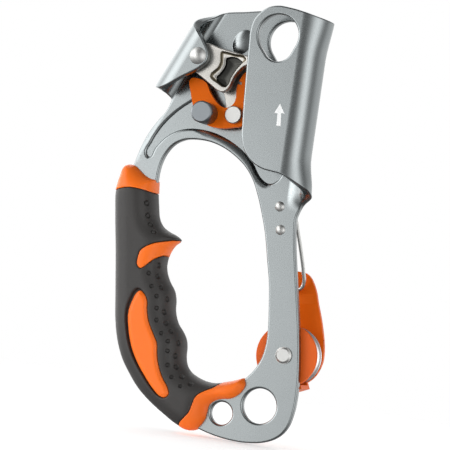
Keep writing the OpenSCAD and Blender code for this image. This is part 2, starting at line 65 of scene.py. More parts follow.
def curve(points, k=4):
    """Closed smooth outline through points; a third number marks a sharp corner."""
    flat = [np.array(p[:2], float) for p in points]
    sharp = [len(p) > 2 for p in points]
    n, out = len(points), []
    for i in range(n):
        a, b, c, d = (flat[(i + j) % n] for j in (-1, 0, 1, 2))
        c0, c1 = sharp[i], sharp[(i + 1) % n]
        size = np.hypot(*(c - b))
        t0 = size * (unit(c - b) if c0 else heading(a, b, c))
        t1 = size * (unit(c - b) if c1 else heading(b, c, d))
        m = 1 if c0 and c1 else k
        for j in range(m):
            s = j / m
            out.append((2 * s ** 3 - 3 * s * s + 1) * b + (s ** 3 - 2 * s * s + s) * t0
                       + (3 * s * s - 2 * s ** 3) * c + (s ** 3 - s * s) * t1)
    return np.array(out)


def circle(c, r, n=64):
    a = np.arange(n) * 2 * math.pi / n
    return np.stack([c[0] + r * np.cos(a), c[1] + r * np.sin(a)], 1)


def egg(c, r1, r2, drop, shift, n=96):
    """A large circle, a smaller one below it, and the tangents between them."""
    a = math.asin((r1 - r2) / drop)
    half = n // 2
    top = [(r1 * math.cos(t), r1 * math.sin(t))
           for t in np.linspace(-a, math.pi + a, half)]
    low = [(r2 * math.cos(t), -drop + r2 * math.sin(t))
           for t in np.linspace(math.pi + a, 2 * math.pi - a, half)]
    p = np.array(top + low)
    w = math.atan2(shift, drop)
    x = p[:, 0] * math.cos(w) - p[:, 1] * math.sin(w)
    z = p[:, 0] * math.sin(w) + p[:, 1] * math.cos(w)
    return np.stack([c[0] + x, c[1] + z], 1)


def area(p):
    q = np.roll(p, -1, 0)
    return 0.5 * float(np.sum(p[:, 0] * q[:, 1] - q[:, 0] * p[:, 1]))


def ccw(p):
    return p if area(p) > 0 else p[::-1].copy()


def spread(p, step):
    """The closed polyline with points every step or less."""
    q, out = np.roll(p, -1, 0), []
    for a, b in zip(p, q):
        m = max(1, int(math.ceil(np.hypot(*(b - a)) / step)))
        out += [a + (b - a) * j / m for j in range(m)]
    return np.array(out)


def normals_out(p):
    """Outward unit normals of a counter-clockwise closed polyline."""
    e = np.roll(p, -1, 0) - p
    e /= np.maximum(np.hypot(e[:, 0], e[:, 1]), 1e-9)[:, None]
    t = e + np.roll(e, 1, 0)
    t /= np.maximum(np.hypot(t[:, 0], t[:, 1]), 1e-9)[:, None]
    return np.stack([t[:, 1], -t[:, 0]], 1)


def distance(p, poly):
    """Signed distance to a closed polygon, positive inside."""
    a, b = poly, np.roll(poly, -1, 0)
    best = np.full(len(p), 1e18)
    inside = np.zeros(len(p), bool)
    for (ax, az), (bx, bz) in zip(a, b):
        ex, ez = bx - ax, bz - az
        wx, wz = p[:, 0] - ax, p[:, 1] - az
        t = np.clip((wx * ex + wz * ez) / max(ex * ex + ez * ez, 1e-12), 0, 1)
        best = np.minimum(best, (wx - t * ex) ** 2 + (wz - t * ez) ** 2)
        if az != bz:
            cross = (az > p[:, 1]) != (bz > p[:, 1])
            inside ^= cross & (p[:, 0] < ex * (p[:, 1] - az) / ez + ax)
    best = np.sqrt(best)
    return np.where(inside, best, -best)


def ease(t):
    t = np.clip(t, 0, 1)
    return t * t * (3 - 2 * t)


def add_mesh(name, verts, faces, body, material, smooth=True, normals=None, like=()):
    me = bpy.data.meshes.new(name)
    me.from_pydata([tuple(v) for v in np.asarray(verts, float) * MM], [], faces)
    me.polygons.foreach_set("use_smooth", [smooth] * len(me.polygons))
    me.update()
    me.validate()
    if normals is not None:
        me.normals_split_custom_set_from_vertices([tuple(v) for v in normals])
    ob = bpy.data.objects.new(name, me)
    bpy.context.scene.collection.objects.link(ob)
    me.materials.append(material)
    if body:
        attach(ob, body)
        if like:
            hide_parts(*like)
    return ob


# ---- materials ------------------------------------------------------------
def material(name, colour, metal=0.0, rough=0.5, grain=900.0, bump=0.0, mottle=0.04,
             rough_vary=0.05, wide=60.0, spec=None):
    """Shader with two noises: `wide` and `grain` are their scales per metre. Together they
    vary the colour by `mottle`; the fine one varies the roughness and lifts the surface."""
    m = bpy.data.materials.new(name)
    m.use_nodes = True
    t = m.node_tree
    b = t.nodes["Principled BSDF"]
    link = t.links.new
    b.inputs["Metallic"].default_value = metal
    if spec is not None:
        b.inputs["Specular IOR Level"].default_value = spec
    place = t.nodes.new("ShaderNodeTexCoord")
    big = t.nodes.new("ShaderNodeTexNoise")
    big.inputs["Scale"].default_value = wide
    big.inputs["Detail"].default_value = 4.0
    fine = t.nodes.new("ShaderNodeTexNoise")
    fine.inputs["Scale"].default_value = grain
    fine.inputs["Detail"].default_value = 3.0
    link(place.outputs["Object"], big.inputs["Vector"])
    link(place.outputs["Object"], fine.inputs["Vector"])
    both = t.nodes.new("ShaderNodeMath")
    both.operation = "ADD"
    link(big.outputs["Fac"], both.inputs[0])
    link(fine.outputs["Fac"], both.inputs[1])
    ramp = t.nodes.new("ShaderNodeMapRange")
    ramp.inputs["From Min"].default_value = 0.6
    ramp.inputs["From Max"].default_value = 1.4
    link(both.outputs[0], ramp.inputs["Value"])
    mix = t.nodes.new("ShaderNodeMix")
    mix.data_type = "RGBA"
    base = np.array(colour)
    mix.inputs["A"].default_value = (*np.clip(base * (1 - mottle), 0, 1), 1)
    mix.inputs["B"].default_value = (*np.clip(base * (1 + mottle), 0, 1), 1)
    link(ramp.outputs[0], mix.inputs["Factor"])
    link(mix.outputs["Result"], b.inputs["Base Color"])
    dull = t.nodes.new("ShaderNodeMapRange")
    dull.inputs["From Min"].default_value = 0.3
    dull.inputs["From Max"].default_value = 0.7
    dull.inputs["To Min"].default_value = max(rough - rough_vary, 0.02)
    dull.inputs["To Max"].default_value = min(rough + rough_vary, 1.0)
    link(fine.outputs["Fac"], dull.inputs["Value"])
    link(dull.outputs[0], b.inputs["Roughness"])
    if bump:
        lift = t.nodes.new("ShaderNodeBump")
        lift.inputs["Strength"].default_value = bump
        lift.inputs["Distance"].default_value = 0.0001
        link(fine.outputs["Fac"], lift.inputs["Height"])
        link(lift.outputs["Normal"], b.inputs["Normal"])
    return m


sheet = material("anodised_sheet", (0.290, 0.312, 0.316), 1.0, 0.24, 1500, 0.045, 0.045, 0.05)
cast = material("cast_nickel", (0.52, 0.505, 0.475), 1.0, 0.30, 1800, 0.08, 0.04, 0.05)
# painted shade: two darker, browner copies of the cast metal, one for the slope into the cam's
# pocket and one for its pit
cast_step_painted_shade = material("cast_step_painted_shade", (0.24, 0.21, 0.155), 1.0, 0.38, 1800, 0.30, 0.10, 0.08)
cast_pit_painted_shade = material("cast_pit_painted_shade", (0.055, 0.055, 0.05), 0.9, 0.36, 1800, 0.30, 0.10, 0.08)
steel = material("rivet_steel", (0.63, 0.63, 0.615), 1.0, 0.42, 1500, 0.10, 0.04, 0.06)
spring = material("spring_wire", (0.72, 0.72, 0.70), 1.0, 0.22, 1500, 0.08, 0.04, 0.05)
dark_spring = material("dark_spring", (0.12, 0.12, 0.12), 1.0, 0.35, 1500, 0.08, 0.04, 0.05)
orange_metal = material("orange_metal", (0.93, 0.15, 0.004), 0.25, 0.38, 1500, 0.06, 0.04, 0.05,
                        spec=0.2)
lever_orange = material("lever_orange", (0.74, 0.13, 0.002), 0.2, 0.34, 1500, 0.06, 0.04, 0.05,
                        spec=0.1)
disc_orange = material("disc_orange", (0.80, 0.125, 0.01), 0.0, 0.45, 1500, 0.06, 0.04, 0.05,
                       spec=0.25)
knob_metal = material("knob_metal", (0.24, 0.26, 0.275), 1.0, 0.38, 2200, 0.12, 0.04, 0.05)
rubber = material("grip_rubber", (0.035, 0.0325, 0.031), 0.0, 0.50, 1400, 0.25, 0.07, 0.07)
plastic = material("orange_plastic", (1.0, 0.175, 0.006), 0.0, 0.42, 900, 0.08, 0.02, 0.06, spec=0.4)
sheave_metal = material("sheave_metal", (0.86, 0.87, 0.88), 1.0, 0.22, 1500, 0.06, 0.04, 0.05)
black = material("black_plastic", (0.02, 0.02, 0.02), 0.0, 0.45, 900, 0.10, 0.06, 0.06)
ink = material("white_ink", (0.90, 0.91, 0.91), 0.0, 0.55, 1500, 0.05, 0.03, 0.05)

# ---- frame sheet ----------------------------------------------------------
HALF = 2.0                              # half the sheet's thickness
BEND_X, BEND_R = -1.2, 8.5              # where the channel's bend starts, mid-plane radius
BEND_ARC = math.pi * BEND_R
WALL_FLIP = 24.3                        # 2 BEND_X + BEND_ARC lays the front wall out flat
BEND_FOOT, BEND_RUN = 92.5, 9.0         # where the channel begins to curl, and over how far
WALL_Y = -2 * BEND_R - HALF             # front face of the front wall
FOLD_P = (-63.5, 138.7)                 # foot of the left fold's line, which leans right
FOLD_R, LEAN = 7.5, math.radians(24.9)
FOLD_ARC = math.pi * FOLD_R
EDGE, CHAMFER = 0.85, 1.1               # radius of the rims, and of the round holes' rims
AX_U = np.array([-math.cos(LEAN), math.sin(LEAN)])
AX_Z = np.array([math.sin(LEAN), math.cos(LEAN)])


def ear(u, h):
    """A point u past the fold's line and h along it, laid out flat."""
    q = np.array(FOLD_P) + u * AX_U + h * AX_Z
    return [q[0], q[1]]


def wall(x, z):
    """A point of the front wall, laid out flat."""
    return [WALL_FLIP - x, z]


outline = (
    [[-1.2, 184.4], [-8.6, 185.3], [-14, 185.5], [-26.5, 184.8], [-35, 183.5]]
    + [ear(*q) for q in [(0, 48.2), (3, 45.9), (6, 42.2), (14, 36.5), (23.4, 32.5), (27, 30.4),
                         (30, 28.4), (32, 25.8), (32.5, 23.2), (31.5, 20), (28.8, 15.4),
                         (26, 11.2), (23.7, 7.2), (21.4, 3.2), (19.4, 1), (16, 0.2),
                         (10, -0.2), (4.4, -0.8), (2, -1.6)]]
    + [[-66.2, 135.8], [-67.3, 132.4], [-70.3, 128.2], [-74.3, 121.8],
       [-77, 115.6], [-80, 104.5], [-82.4, 92], [-81.8, 76], [-77.2, 48], [-74.6, 34],
       [-70.6, 21], [-63.8, 9.5], [-55.6, 1.2], [-46, -5.8], [-37.5, -11.2], [-30, -14.6],
       [-21.9, -16.8], [-12, -18.1], [-3, -18], [3.4, -16.9], [8.8, -14.7], [12.8, -11.5],
       [15.4, -7.2], [16.8, -1.5], [17.4, 6], [16.8, 17.5], [15.5, 28], [13.4, 40], [8.3, 65],
       [5.8, 78], [4.8, 85.5], [4.7, 89.5], [5.6, 92.8], [7, 96], [10, 99], [14, 101.5],
       [20, 105]]
    + [wall(*q) for q in [(-1.2, 108.1), (-5, 108.6), (-10.4, 109.5), (-15.2, 111.8),
                          (-18.6, 115), (-20.9, 118.6), (-22.1, 122.5), (-22.9, 130),
                          (-24.1, 146), (-25.2, 166), (-25.4, 173.5), (-24.4, 178),
                          (-21.8, 181.8), (-18.2, 184.6), (-13, 185.9), (-8.6, 185.6),
                          (-1.2, 184.4)]]
    + [[18.9, 182.6], [12.2, 181.7], [5.5, 182.6]])
opening = [
    [-66.9, 98.5], [-66.8, 102], [-66.1, 107], [-64, 112.6], [-60.4, 117.1], [-56, 119.5],
    [-49.5, 120.4], [-43, 120], [-36.5, 118.2], [-29.5, 114.6], [-23.6, 110], [-19.2, 104.4],
    [-15.8, 97.6], [-13, 90.6], [-10, 81.9], [-6.6, 68.1], [-4.4, 59], [-2.7, 48], [-1.5, 38],
    [-1.1, 32], [-1.3, 27.6], [-2.4, 22], [-4.6, 17.2], [-8.2, 12.4], [-13, 7.6], [-19, 4.4],
    [-27, 3.4], [-36, 5.6], [-45, 10.8], [-52, 18], [-57, 27], [-60.4, 38], [-64.2, 58],
    [-68.2, 74], [-69.6, 86], [-68.2, 94]]
recess = [
    [-74, 110.6], [-72.4, 116.6], [-69.2, 123.2], [-65.2, 128.8], [-60.6, 133.6],
    [-54, 139], [-46, 146], [-42, 150], [-30, 153], [-12, 152], [-4.6, 148], [-3.4, 135],
    [-4.2, 122], [-4.8, 112.6], [-5.8, 108.4], [-7.9, 105.3], [-11.1, 103.8], [-14, 104.9],
    [-16.6, 107.2], [-20, 112], [-24.3, 116.2], [-29, 119.4], [-35, 122.4], [-42, 124.6],
    [-49.6, 125.4], [-56, 124.8], [-61.5, 122.9], [-66.5, 119.2], [-70.4, 114.2],
    [-73, 109.4]]
recess_line = ccw(curve(recess, 4))
opening_line = ccw(curve(opening, 4))
RECESS = 1.0                            # depth of the pressed recess
BOSS, BOSS_R, BOSS_H = np.array([-33.9, 168.9]), np.array([4.5, 6.2]), 1.0
BOSS_TILT = math.radians(24)
ATTACH_R = 8.2                          # large lower hole, round the origin
SMALL_P, SMALL_R = (-18, -6.2), 5.3
HOLE, HOLE_R = (-11.4, 171.5), 9.7      # egg-shaped upper hole, in the plate
HOLE_FRONT, HOLE_FRONT_R = (-11.5, 172.0), 9.8
HOLE_TIP = (7.2, 5.05, 0.7)             # small radius, drop and sideways shift of both eggs
EAR_RELIEF = 0.25
FLARE = 0.3                             # how far the channel bulges all along,
TOP_FLARE, TOP_FROM, TOP_RUN = 2.0, 163, 22         # at its top
FOOT_FLARE, FOOT_FROM, FOOT_RUN = 2.7, 93, 7        # and at its foot, where it comes in
FOOT_END, FOOT_FADE = 101, 17                       # and goes out again
FOLD_FROM, FOLD_RUN = -6.0, 5.0         # where the left fold begins, along its line


def recess_rise(x, z):
    """How far the recess pushes the sheet back here; the side toward the opening is a
    wide soft slope, the others are a tight step."""
    p = np.stack([x, z], 1)
    d = distance(p, recess_line)
    gap = -distance(p, opening_line) - d
    wide = 1.2 + 2.1 * (1 - ease((gap - 6.0) / 3.5)) * ease((x + 53) / 8)
    return RECESS * np.clip((d + wide) / wide, 0, 1) ** 2


def boss_rise(x, z):
    """A leaning bullet pressed toward the front, highest on its left."""
    dx, dz = x - BOSS[0], z - BOSS[1]
    side = (dx * math.cos(BOSS_TILT) - dz * math.sin(BOSS_TILT)) / BOSS_R[0]
    along = (dx * math.sin(BOSS_TILT) + dz * math.cos(BOSS_TILT)) / BOSS_R[1]
    r = np.hypot(side, along)
    return BOSS_H * (1 - 0.25 * side) * (1 - np.minimum(r, 1) ** 2.2)


def ear_relief(x, z):
    """The fold's inner face stands back a little, clear of the lever as it swings."""
    u = (x - FOLD_P[0]) * AX_U[0] + (z - FOLD_P[1]) * AX_U[1]
    return EAR_RELIEF * ease(u / 2.0) * (1 - ease((u - 10.0) / 3.0))


def bend_all(x, z, o):
    """From the flat sheet to the folded one; o is the height off the mid plane."""
    X, Y, Z = x.copy(), o.copy(), z.copy()
    # channel on the right
    s = x - BEND_X
    w = ease((z - BEND_FOOT) / BEND_RUN)
    on = (s > 0) & (w > 0)
    wr = np.maximum(w, 1e-4)
    th = np.minimum(s, BEND_ARC) / BEND_R * wr
    R = BEND_R / wr
    swell = (TOP_FLARE * ease((z - TOP_FROM) / TOP_RUN)
             + FOOT_FLARE * ease((z - FOOT_FROM) / FOOT_RUN)
             * (1 - ease((z - FOOT_END) / FOOT_FADE)) + FLARE)
    flare = swell * np.sin(np.clip(th, 0, math.pi)) ** 2
    extra = np.maximum(s - BEND_ARC, 0)
    cx = BEND_X + (R + o) * np.sin(th) + flare + extra * np.cos(th)
    cy = -R + (R + o) * np.cos(th) - extra * np.sin(th)
    X, Y = np.where(on, cx, X), np.where(on, cy, Y)
    # fold on the left
    dx, dz = x - FOLD_P[0], z - FOLD_P[1]
    u = dx * AX_U[0] + dz * AX_U[1]
    h = dx * AX_Z[0] + dz * AX_Z[1]
    w = ease((h - FOLD_FROM) / FOLD_RUN)
    on = (u > 0) & (w > 0) & (h > FOLD_FROM)
    wr = np.maximum(w, 1e-4)
    th = np.minimum(u, FOLD_ARC) / FOLD_R * wr
    R = FOLD_R / wr
    extra = np.maximum(u - FOLD_ARC, 0)
    cu = (R + o) * np.sin(th) + extra * np.cos(th)
    cy = -R + (R + o) * np.cos(th) - extra * np.sin(th)
    X = np.where(on, FOLD_P[0] + cu * AX_U[0] + h * AX_Z[0], X)
    Z = np.where(on, FOLD_P[1] + cu * AX_U[1] + h * AX_Z[1], Z)
    Y = np.where(on, cy, Y)
    return np.stack([X, Y, Z], 1)


def bend_normals(p, n):
    """Normals of the flat sheet, turned with the bends."""
    x, z, o = p[:, 0], p[:, 1], p[:, 2]
    e = 0.01                            # half the step of the slopes
    ts = (bend_all(x + e, z, o) - bend_all(x - e, z, o)) / (2 * e)
    tz = (bend_all(x, z + e, o) - bend_all(x, z - e, o)) / (2 * e)
    to = (bend_all(x, z, o + e) - bend_all(x, z, o - e)) / (2 * e)
    # the flat axes x, o, z are right-handed as X, Y, Z
    a, b, c = np.cross(to, tz), np.cross(tz, ts), np.cross(ts, to)
    out = n[:, :1] * a + n[:, 1:2] * b + n[:, 2:3] * c
    return out / np.maximum(np.linalg.norm(out, axis=1), 1e-9)[:, None]


RIM_ANGLES = (22.5, 45, 67.5, 90)
THIN = 1e-10                            # triangles with less area than half this are dropped


def triangulate(rims, paths):
    """The face between the rims' loops, in counter-clockwise triangles that follow the
    paths: its points and the triangles."""
    verts, edges = [], []
    for p, closed in [(q, True) for q, _, _, _ in rims] + list(paths):
        base, m = len(verts), len(p)
        verts.extend(Vector((float(a), float(b))) for a, b in p)
        edges.extend((base + i, base + (i + 1) % m) for i in range(m if closed else m - 1))
    points, _, tris, _, _, _ = delaunay_2d_cdt(verts, edges, [], 0, 1e-5)
    points = np.array([(v.x, v.y) for v in points])
    tris = np.array([t for t in tris if len(t) == 3])
    mid = points[tris].mean(1)
    keep = np.ones(len(tris), bool)
    for q, _, _, sign in rims:
        keep &= distance(mid, q) * sign > 0
    tris = tris[keep]
    a, b, c = points[tris[:, 0]], points[tris[:, 1]], points[tris[:, 2]]
    turn = (b[:, 0] - a[:, 0]) * (c[:, 1] - a[:, 1]) - (b[:, 1] - a[:, 1]) * (c[:, 0] - a[:, 0])
    tris, turn = tris[np.abs(turn) > THIN], turn[np.abs(turn) > THIN]
    tris[turn < 0] = tris[turn < 0][:, ::-1]
    used = np.unique(tris)
    number = -np.ones(len(points), int)
    number[used] = np.arange(len(used))
    return points[used], number[tris]


def nearest_rim(points, rims):
    """The outward normal and the rim radius of the loop nearest to each point."""
    count = len(points)
    outward, width, best = np.zeros((count, 2)), np.zeros(count), np.full(count, 1e9)
    for q, n, radius, _ in rims:
        for a, b, na, nb in zip(q, np.roll(q, -1, 0), n, np.roll(n, -1, 0)):
            edge = b - a
            t = np.clip(((points - a) @ edge) / max(edge @ edge, 1e-12), 0, 1)
            d = np.hypot(*(points - a - t[:, None] * edge).T)
            hit = d < best
            between = na * (1 - t[:, None]) + nb * t[:, None]
            between /= np.maximum(np.hypot(between[:, 0], between[:, 1]), 1e-9)[:, None]
            outward[hit], width[hit], best[hit] = between[hit], radius, d[hit]
    return outward, width


def plate(loops, paths, front_o, back_o):
    """A plate with rounded rims. loops: [(closed points, rim radius, 1 outside or -1 hole)];
    paths: [(points, closed)] that the faces must follow; front_o and back_o: height off the
    mid plane over (x, z). Returns flat points (x, z, o), their normals and the faces. The
    rims are quarter rounds on either side, with a flat band between them."""
    rims = []
    for p, radius, sign in loops:
        n = normals_out(p) * sign
        rims.append((p - n * radius, n, radius, sign))
    flat, tris = triangulate(rims, paths)
    m = len(flat)
    x, z = flat[:, 0], flat[:, 1]
    e = 0.02                            # half the step of the slopes
    points, nrm = [], []
    for height, side in ((front_o, -1), (back_o, 1)):
        sx = (height(x + e, z) - height(x - e, z)) / (2 * e)
        sz = (height(x, z + e) - height(x, z - e)) / (2 * e)
        points.append(np.stack([x, z, height(x, z)], 1))
        nrm.append(np.stack([-side * sx, np.full(m, float(side)), -side * sz], 1))
    faces = [tuple(t) for t in tris] + [tuple(t[::-1] + m) for t in tris]
    # the border's edges are in one triangle only
    sides = set()
    for t in tris:
        for i in range(3):
            sides.add((int(t[i]), int(t[(i + 1) % 3])))
    border = [k for k in sides if (k[1], k[0]) not in sides]
    on = sorted({i for k in border for i in k})
    where = {v: i for i, v in enumerate(on)}
    rim_points = flat[on]
    outward, width = nearest_rim(rim_points, rims)
    k = len(on)
    face_o = {-1: front_o(rim_points[:, 0], rim_points[:, 1]),
              1: back_o(rim_points[:, 0], rim_points[:, 1])}
    steps = []
    for side in (-1, 1):
        for angle in RIM_ANGLES[::-side]:
            t = math.radians(angle)
            o = face_o[side] - side * width * (1 - math.cos(t))
            points.append(np.column_stack([rim_points + outward * (width * math.sin(t))[:, None],
                                           o]))
            nrm.append(np.column_stack([outward[:, 0] * math.sin(t),
                                        np.full(k, side * math.cos(t)),
                                        outward[:, 1] * math.sin(t)]))
            steps.append(2 * m + len(steps) * k)
    last = len(steps) + 1

    def row(level, v):
        """The vertex of border point v on a level, from the front face to the back face."""
        if level == 0:
            return v
        return v + m if level == last else steps[level - 1] + where[v]

    for a, b in border:
        for step in range(last):
            faces.append((row(step, b), row(step, a), row(step + 1, a), row(step + 1, b)))
    nrm = np.concatenate(nrm)
    return np.concatenate(points), nrm / np.linalg.norm(nrm, axis=1)[:, None], faces


def guide_lines():
    """Lines that the sheet's faces follow: along and across the bends, down the recess's
    slope and round the boss."""
    paths = []
    for q in np.linspace(0, BEND_ARC, 25):
        paths.append(([(BEND_X + q, z) for z in np.arange(91.0, 189.1, 3.5)], False))
    for z in np.arange(91.5, 103.6, 1.0):
        paths.append(([(x, z) for x in np.arange(-3.2, 30, 1.3)], False))
    for z in np.arange(107.0, 187.0, 4.0):
        paths.append(([(x, z) for x in np.arange(-3.2, 30, 2.6)], False))
    for u in np.linspace(0, FOLD_ARC, 21):
        paths.append(([ear(u, h) for h in np.arange(-7.0, 50.1, 3.8)], False))
    for h in list(np.arange(-6.5, 0.6, 1.0)) + list(np.arange(4.0, 50.0, 5.0)):
        paths.append(([ear(u, h) for u in np.arange(-1.5, 26.5, 1.4)], False))
    line = spread(recess_line, 1.0)
    outward = normals_out(line)
    for off in (-0.08, 0.08, 0.35, 0.7, 1.05, 1.4, 1.9, 2.4, 2.9, 3.4, 3.8):
        paths.append((line + outward * off, True))
    ring = circle((0, 0), 1, 44)
    co, si = math.cos(BOSS_TILT), math.sin(BOSS_TILT)
    for r in (0.12, 0.25, 0.38, 0.5, 0.6, 0.7, 0.78, 0.85, 0.91, 0.96, 1.0, 1.05, 1.12, 1.2):
        q = ring * r * BOSS_R
        side, along = q[:, 0], q[:, 1]
        turned = np.stack([side * co + along * si, along * co - side * si], 1)
        paths.append((turned + BOSS, True))
    return paths


def frame_mesh():
    front_egg = egg(HOLE_FRONT, HOLE_FRONT_R, *HOLE_TIP)
    front_egg = ccw(np.stack([WALL_FLIP - front_egg[:, 0], front_egg[:, 1]], 1))
    loops = [(ccw(spread(curve(outline, 6), 1.0)), EDGE, 1),
             (ccw(spread(curve(opening, 5), 1.2)), EDGE, -1),
             (circle((0, 0), ATTACH_R, 96), CHAMFER, -1),
             (circle(SMALL_P, SMALL_R, 72), CHAMFER, -1),
             (egg(HOLE, HOLE_R, *HOLE_TIP), EDGE, -1), (front_egg, EDGE, -1)]
    flat, nrm, faces = plate(
        loops, guide_lines(),
        lambda x, z: -HALF + recess_rise(x, z) - boss_rise(x, z) + ear_relief(x, z),
        lambda x, z: HALF + recess_rise(x, z))
    return bend_all(flat[:, 0], flat[:, 1], flat[:, 2]), faces, bend_normals(flat, nrm)


verts, faces, normals = frame_mesh()
add_mesh("frame_sheet", verts, faces, "frame_body", sheet,
         normals=normals, like=("frame",))


def arrow():
    """A generic up arrow, printed on the front wall."""
    tip, low = np.array([-5.7, 140.4]), np.array([-4.9, 130.0])
    head_wide, head_long, stem_wide = 2.5, 4.6, 1.0
    d = unit(tip - low)
    side = np.array([d[1], -d[0]])
    size = np.hypot(*(tip - low))
    neck, barb = size - head_long + 0.2, size - head_long
    shape = [(0, stem_wide), (neck, stem_wide - 0.1), (barb, head_wide), (size, 0),
             (barb, -head_wide), (neck, 0.1 - stem_wide), (0, -stem_wide)]
    p = ccw(np.array([low + d * a + side * b for a, b in shape]))
    n = len(p)
    v = [(q[0], WALL_Y - 0.035, q[1]) for q in p] + [(q[0], WALL_Y + 0.02, q[1]) for q in p]
    f = [tuple(range(n)), tuple(range(2 * n - 1, n - 1, -1))]
    f += [((i + 1) % n, i, i + n, (i + 1) % n + n) for i in range(n)]
    return v, f


verts, faces = arrow()
add_mesh("up_arrow", verts, faces, "frame_body", ink, smooth=False)

# ---- grip -----------------------------------------------------------------
grip = [
    [-83, 103.9], [-79, 104.1], [-76.4, 102.4], [-73.4, 100.2], [-70.4, 98.9], [-67.4, 98.5, 1],
    [-66.6, 91.6], [-65.6, 86.6], [-63.8, 80], [-61.3, 77], [-57.6, 75], [-53, 73.2],
    [-51.5, 71.9], [-54.2, 68.8], [-55.9, 65.8], [-57, 61.6], [-56.9, 57.6], [-54.4, 51.8],
    [-51.3, 47.6], [-49.9, 43.4], [-49.4, 38.4], [-47.1, 32.6], [-43.7, 28.6], [-41.7, 25.2],
    [-40.9, 21.6], [-40.6, 17], [-39.2, 13], [-36.9, 10.6], [-33.6, 8.9], [-29.4, 7.6],
    [-24.6, 7.2], [-19.6, 8], [-14.6, 9.5], [-9.4, 11.6, 1], [-8.2, 9], [-9.2, 6], [-11.8, 2.9],
    [-14.8, 1.2], [-18.2, 0.6], [-21.8, -0.7], [-24.4, -3.2], [-25, -6.6], [-25.4, -9.8],
    [-27, -13], [-29.8, -15.8], [-33, -16.5], [-38, -15.2], [-46, -11], [-54.2, -5.9],
    [-60.4, -0.9], [-66, 5.5], [-70.4, 11.6], [-73.6, 18.2], [-76.1, 26], [-79.1, 43.8],
    [-82, 62.9], [-85.2, 81.9], [-86.3, 91], [-85.2, 98]]
top_region = [
    [-95, 90], [-84.4, 91.6], [-77, 93.3], [-70, 92.9], [-60, 90, 1], [-60, 110, 1], [-95, 110, 1]]
bottom_region = [
    [-39, -22, 1], [-36.6, -14.6], [-33, -10.3], [-31, -7.4], [-30.2, -4], [-28.6, 0.6],
    [-25.1, 3.4], [-21.6, 5.4], [-19, 8.4], [-17, 14, 1], [0, 14, 1], [0, -22, 1]]
blade_region = [
    [-46, 73, 1], [-56.5, 70], [-61, 68.4], [-64.6, 66.2], [-66.8, 64], [-67.4, 61],
    [-67.2, 57.2], [-65.4, 55.8], [-63, 57.6], [-60.4, 60.6], [-57.4, 63.2], [-54, 65],
    [-46, 68.4, 1]]
inlay_shape = [
    [-64.1, 45.2], [-61.8, 44], [-59.9, 41.2], [-59.2, 36.8], [-57.6, 31.6], [-54.5, 26.2],
    [-51.8, 21.6], [-51.1, 17.4], [-49.4, 11.6], [-46.6, 6.2], [-43.2, 1.6], [-42.4, -0.8],
    [-43.8, -2.5], [-46.4, -2.4], [-50, 0.2], [-54.6, 5], [-59.4, 10.8], [-63.8, 18],
    [-66.8, 26.6], [-68.1, 34.6], [-66.9, 40.6], [-65.6, 43.8]]
rings_up = [(-67.9, 86.9), (-66.5, 81.2), (-64.4, 77.2), (-61.9, 73.9)]
dimples = [
    (-58, 58.4), (-60.9, 54.1), (-57.2, 53.2), (-58.5, 48.3), (-54.4, 48.3), (-55.3, 43.9),
    (-51.1, 43.1), (-54.4, 38.3), (-51.1, 36.9), (-53.5, 32.7), (-49.3, 31.9), (-50.1, 27),
    (-46.3, 28.5), (-46.5, 23.7), (-42.4, 23.4), (-45.8, 19.1), (-42.5, 17.2), (-44.8, 12.6),
    (-41.2, 12.2), (-41.9, 7.3), (-37.5, 8), (-36.9, 3.8), (-32.6, 5.4)]
STEP = 0.42                             # pitch of the grid that the grip is meshed on
gx = np.arange(-88.6, -6.6, STEP)
gz = np.arange(-18.2, 106.0, STEP)
gy = np.arange(-13.1, 13.2, STEP)
PX, PZ = np.meshgrid(gx, gz, indexing="ij")
flat_pts = np.stack([PX.ravel(), PZ.ravel()], 1)


def field2(points, k=3):
    return distance(flat_pts, ccw(curve(points, k))).reshape(PX.shape)


def blur(a, times):
    for _ in range(times):
        p = np.pad(a, 1, mode="edge")
        a = (p[:-2, 1:-1] + p[2:, 1:-1] + 2 * p[1:-1, 1:-1]) / 4
        p = np.pad(a, 1, mode="edge")
        a = (p[1:-1, :-2] + p[1:-1, 2:] + 2 * p[1:-1, 1:-1]) / 4
    return a


R_SIDE, D_SIDE, POW = 9.5, 11.2, 2.35   # width and height of the rounded side, its power
d_grip = field2(grip)
d_soft = d_grip + (blur(d_grip, 30) - d_grip) * ease((d_grip - 1.0) / 3.0)
full = np.clip(1 - np.minimum(d_soft / R_SIDE, 1), 0, 3)
half_y = D_SIDE * np.clip(1 - full ** POW, 0, 1) ** (1 / POW)
d_inlay = field2(inlay_shape, 4)
# the bed round the inlay is wider on its outer side
BED, BED_SHIFT = 1.9, np.array([0.95, -0.6])
shifted = distance(flat_pts + BED_SHIFT, ccw(curve(inlay_shape, 4))).reshape(PX.shape)
bed = BED * ease((np.maximum(d_inlay + 0.55, shifted + 0.75)) / 0.55)
YY = np.abs(gy)[None, :, None]


def side_field():
    """Implicit field of the rounded grip: negative inside."""
    f = np.maximum(full, 0)[:, None, :] ** POW + (YY / D_SIDE) ** POW
    return (f ** (1 / POW) - 1) * D_SIDE


